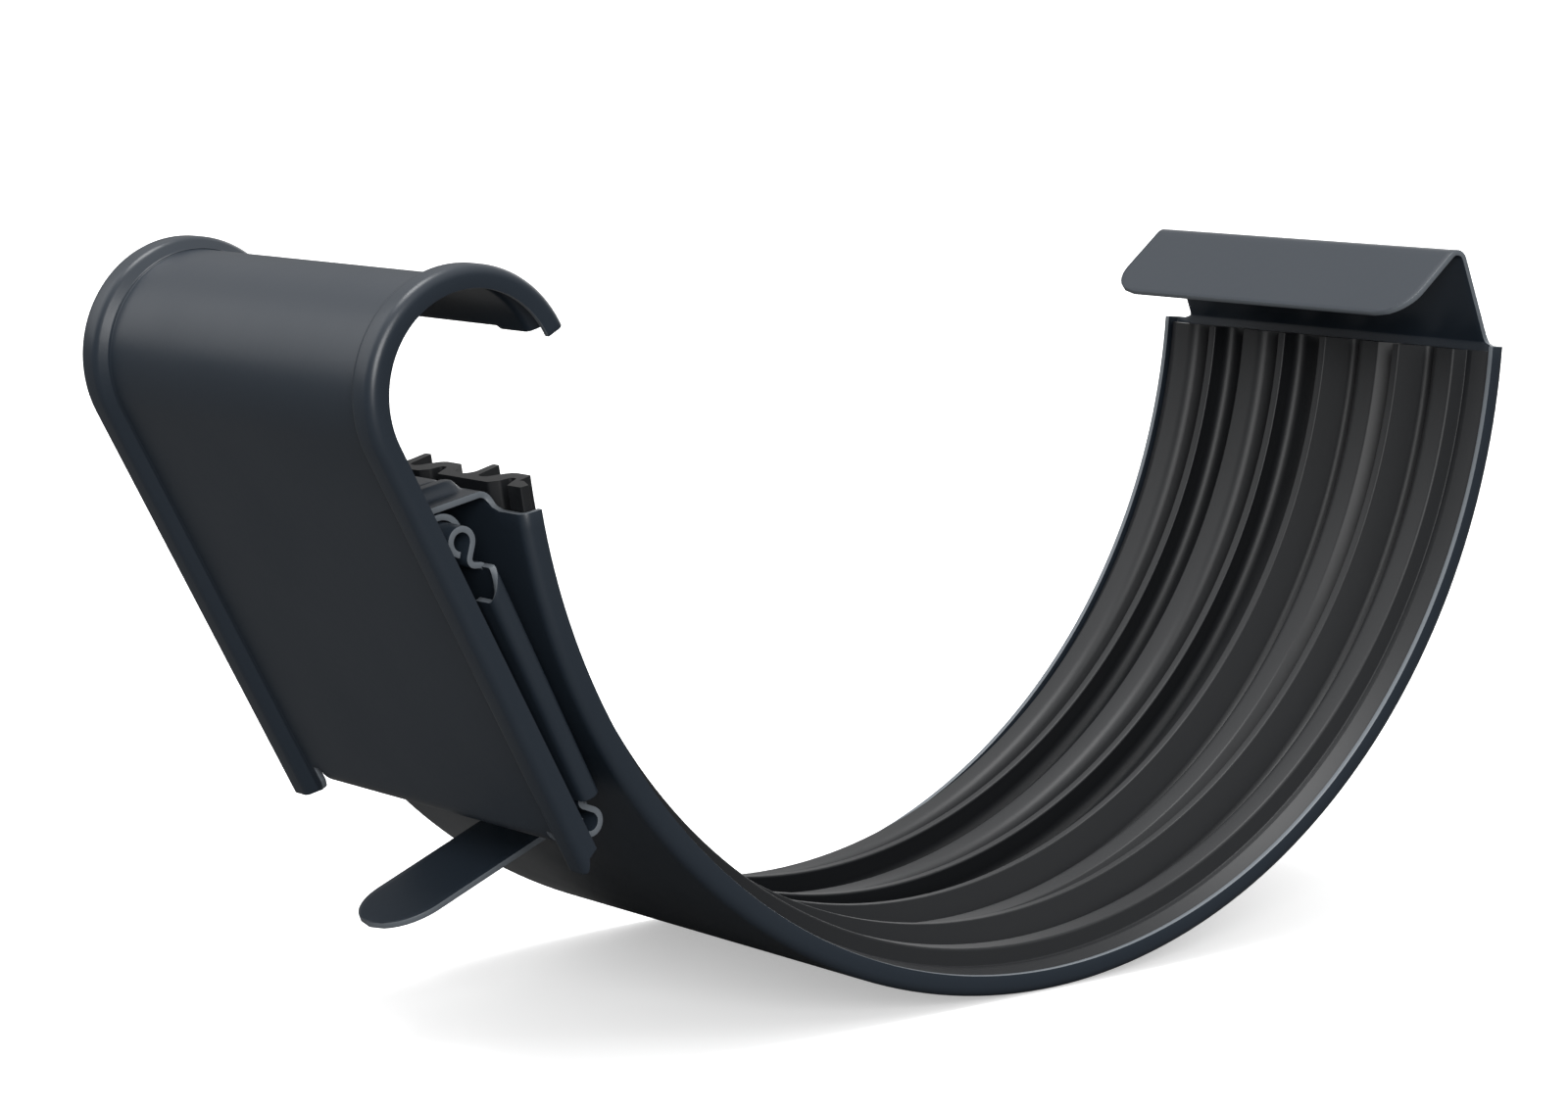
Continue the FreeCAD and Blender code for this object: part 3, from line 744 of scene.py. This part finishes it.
# seal: ribs with a hollow under each, and fins beside them that lean to the middle, all mirrored about it
seal = {
    "gap": 0.15,
    "sideGap": 0.2,
    "web": 1.15,
    "rise": 3.4,
    "lip": 0.9,
    "frontDrop": 8.9,
    "rearDrop": 5.0,
    "ribPlaces": (19.8, 9.0),
    "crestOuter": 1.2,
    "crestInner": 1.7,
    "crestRound": 0.35,
    "shoulderRound": 1.4,
    "wallFoot": 2.8,
    "slopeFoot": 3.0,
    "slopeRound": 1.6,
    "rootRound": 0.8,
    "ledgeHeight": 1.7,
    "ledgeInner": 1.7,
    "ledgeOuter": 2.4,
    "ceiling": 2.05,
    "hollowShift": 0.375,
    "hollowWidth": 0.85,
    "hollowFoot": 1.4,
    "hollowToe": 0.85,
    "ceilingRound": 0.35,
    "toeRound": 0.5,
    "finTop": 4.65,
    "finTipOuter": 5.44,
    "finTipInner": 6.47,
    "finFootOuter": 4.1,
    "finFootInner": 5.3,
    "finRound": 0.2,
    "finSweep": 1.0,
    "edgeRound": 0.12,
    "facet": 15.0,
    "turnStep": 1.5,
}


def mirrored(corners):
    return [(-x, height, radius) for x, height, radius in reversed(corners)]


def sealCorners(half):
    # the section's corners once round, as (X, height above the strap, radius)
    sharp = seal["edgeRound"]
    web = seal["web"]
    rise = seal["rise"]
    inside = seal["hollowWidth"] / 2
    upper = [(half, 0.0, sharp), (half, seal["lip"], sharp)]
    lower = []
    for rib in seal["ribPlaces"]:
        if rib == seal["ribPlaces"][0]:
            upper += [(rib + seal["ledgeOuter"], seal["ledgeHeight"], sharp),
                      (rib + seal["ledgeInner"], seal["ledgeHeight"], sharp)]
        else:
            upper.append((rib + seal["slopeFoot"], web, seal["slopeRound"]))
        upper += [(rib + seal["crestOuter"], rise, seal["crestRound"]),
                  (rib - seal["crestInner"], rise, seal["shoulderRound"]),
                  (rib - seal["wallFoot"], web, seal["rootRound"]),
                  (rib - seal["finFootOuter"], web, seal["rootRound"]),
                  (rib - seal["finTipOuter"], seal["finTop"], seal["finRound"]),
                  (rib - seal["finTipInner"], seal["finTop"], seal["finRound"]),
                  (rib - seal["finFootInner"], web, seal["finSweep"])]
        hollow = rib + seal["hollowShift"]
        lower += [(hollow + inside + seal["hollowFoot"], 0.0, sharp),
                  (hollow + inside, seal["ceiling"], seal["ceilingRound"]),
                  (hollow - inside, seal["ceiling"], seal["ceilingRound"]),
                  (hollow - inside, seal["hollowToe"], seal["toeRound"]),
                  (hollow - inside - seal["hollowToe"], 0.0, seal["toeRound"])]
    return upper + mirrored(upper) + mirrored(lower[::-1]) + lower[::-1]


def buildSeal():
    floor = -strapLow.z - sheetMetal["gauge"] - seal["gap"]
    half = strapHigh.x - sheetMetal["gauge"] - seal["sideGap"]
    corners = sealCorners(half)
    outline = []
    for i, (x, height, radius) in enumerate(corners):
        before = corners[i - 1][:2]
        after = corners[(i + 1) % len(corners)][:2]
        outline += cornerArc(before, (x, height), after, radius, seal["facet"])
    outline = joined(outline)
    surface = bmesh.new()
    rows = []
    for turn in steps([180.0 + seal["frontDrop"], 360.0 - seal["rearDrop"]], seal["turnStep"]):
        ring = [Vector((x, *polar(turn, floor - height))) for x, height in outline]
        rows.append([surface.verts.new(point * mm) for point in ring])
    count = len(outline)
    for low, high in zip(rows, rows[1:]):
        for j in range(count):
            after = (j + 1) % count
            surface.faces.new((low[j], low[after], high[after], high[j]))
    # the section is far from convex, so its two ends are cut into triangles that stay inside it
    for corner in tessellate_polygon([[Vector((x, height, 0.0)) for x, height in outline]]):
        surface.faces.new([rows[0][j] for j in corner])
        surface.faces.new([rows[-1][j] for j in reversed(corner)])
    bmesh.ops.recalc_face_normals(surface, faces=surface.faces)
    mesh = bpy.data.meshes.new("sealRubber")
    surface.to_mesh(mesh)
    surface.free()
    shadeSmooth(mesh)
    return addPiece("sealRubber", mesh, [rubberFinish], "base", "seal")


buildStrap()
print("gutter union: strap built")
buildClasp()
print("gutter union: clasp built")
buildLink()
print("gutter union: link built")
buildSeal()
print("gutter union: seal built")


# floor, lamps and world
studio = {
    "floorSize": 30.0,
    "floorBounce": 0.1,
    "floorSeen": 0.95,
    "floorGlow": 0.4,
    "keyPower": 1.8,
    "keySpread": 30.0,
    "keyWay": (0.1, 0.12, -1.0),
    "keyPlace": (0.0, 0.0, 1.0),
    "sidePower": 1.95,
    "sideSize": 0.9,
    "sidePlace": (-0.65, -0.62, 0.48),
    "nearPower": 6.8,
    "nearSize": 0.6,
    "nearPlace": (0.8, -0.55, 0.3),
    "backPower": 2.2,
    "backSize": 0.8,
    "backPlace": (-0.5, 0.9, 0.3),
    "zenith": 1.0,
    "horizon": 0.15,
    "target": (0.0, 0.0, -0.02),
}


def floorMaterial():
    # near white to the camera, with a faint shadow, and dark to the light that bounces off it
    material, tree, shader = newMaterial("paleFloor")
    tree.nodes.remove(shader)
    path = addNode(tree, "ShaderNodeLightPath")
    bounce = addNode(tree, "ShaderNodeBsdfDiffuse")
    bounce.inputs["Color"].default_value = (*[studio["floorBounce"]] * 3, 1.0)
    seen = addNode(tree, "ShaderNodeBsdfDiffuse")
    seen.inputs["Color"].default_value = (*[studio["floorSeen"]] * 3, 1.0)
    glow = addNode(tree, "ShaderNodeEmission")
    glow.inputs["Strength"].default_value = studio["floorGlow"]
    lit = addNode(tree, "ShaderNodeAddShader")
    which = addNode(tree, "ShaderNodeMixShader")
    wire = tree.links.new
    wire(seen.outputs[0], lit.inputs[0])
    wire(glow.outputs[0], lit.inputs[1])
    wire(path.outputs["Is Camera Ray"], which.inputs[0])
    wire(bounce.outputs[0], which.inputs[1])
    wire(lit.outputs[0], which.inputs[2])
    wire(which.outputs[0], tree.nodes["Material Output"].inputs["Surface"])
    return material


def addFloor():
    half = studio["floorSize"] / 2
    mesh = bpy.data.meshes.new("floor")
    corners = [(-half, -half, 0), (half, -half, 0), (half, half, 0), (-half, half, 0)]
    mesh.from_pydata(corners, [], [(0, 1, 2, 3)])
    mesh.materials.append(floorMaterial())
    floor = bpy.data.objects.new("floor", mesh)
    floor.location = (0, 0, cadLow.z)
    sceneNow.collection.objects.link(floor)


def addLamp(name, kind, power, way, spot):
    lampData = bpy.data.lights.new(name, kind)
    lampData.energy = power
    lamp = bpy.data.objects.new(name, lampData)
    lamp.location = spot
    lamp.rotation_euler = Vector(way).to_track_quat("-Z", "Y").to_euler()
    sceneNow.collection.objects.link(lamp)
    return lampData


def addLamps():
    key = addLamp("keySun", "SUN", studio["keyPower"], studio["keyWay"], studio["keyPlace"])
    key.angle = math.radians(studio["keySpread"])
    for role in ("side", "near", "back"):
        place = Vector(studio[role + "Place"])
        way = Vector(studio["target"]) - place
        box = addLamp(role + "Lamp", "AREA", studio[role + "Power"], way, place)
        box.shape = "DISK"
        box.size = studio[role + "Size"]


def setWorld():
    # sky that is bright overhead and dim towards the horizon, and plain white to the camera
    world = bpy.data.worlds.new("studio")
    sceneNow.world = world
    world.use_nodes = True
    tree = world.node_tree
    light = tree.nodes["Background"]
    way = addNode(tree, "ShaderNodeTexCoord")
    split = addNode(tree, "ShaderNodeSeparateXYZ")
    level = addNode(tree, "ShaderNodeMapRange", interpolation_type="SMOOTHSTEP")
    level.inputs["From Min"].default_value = 0.0
    level.inputs["From Max"].default_value = 1.0
    level.inputs["To Min"].default_value = studio["horizon"]
    level.inputs["To Max"].default_value = studio["zenith"]
    white = addNode(tree, "ShaderNodeBackground")
    white.inputs["Color"].default_value = (1.0, 1.0, 1.0, 1.0)
    white.inputs["Strength"].default_value = 1.0
    path = addNode(tree, "ShaderNodeLightPath")
    which = addNode(tree, "ShaderNodeMixShader")
    wire = tree.links.new
    light.inputs["Color"].default_value = (1.0, 1.0, 1.0, 1.0)
    wire(way.outputs["Generated"], split.inputs[0])
    wire(split.outputs["Z"], level.inputs["Value"])
    wire(level.outputs["Result"], light.inputs["Strength"])
    wire(path.outputs["Is Camera Ray"], which.inputs[0])
    wire(light.outputs[0], which.inputs[1])
    wire(white.outputs[0], which.inputs[2])
    wire(which.outputs[0], tree.nodes["World Output"].inputs["Surface"])


addFloor()
addLamps()
setWorld()
print("gutter union: studio ready")


# camera where the photograph was taken from
view = {
    "place": (0.317148, -0.272054, 0.035736),
    "azimuth": 50.891,
    "pitch": 8.178,
    "lens": 94.96,
    "sensor": 36.0,
    "clipNear": 0.01,
    "clipFar": 20.0,
}


def addCamera():
    cameraData = bpy.data.cameras.new("camera")
    cameraData.sensor_width = view["sensor"]
    cameraData.lens = view["lens"]
    cameraData.clip_start = view["clipNear"]
    cameraData.clip_end = view["clipFar"]
    camera = bpy.data.objects.new("camera", cameraData)
    camera.location = view["place"]
    camera.rotation_euler = (math.radians(90 - view["pitch"]), 0.0, math.radians(view["azimuth"]))
    sceneNow.collection.objects.link(camera)
    sceneNow.camera = camera


addCamera()
print("gutter union: camera set")
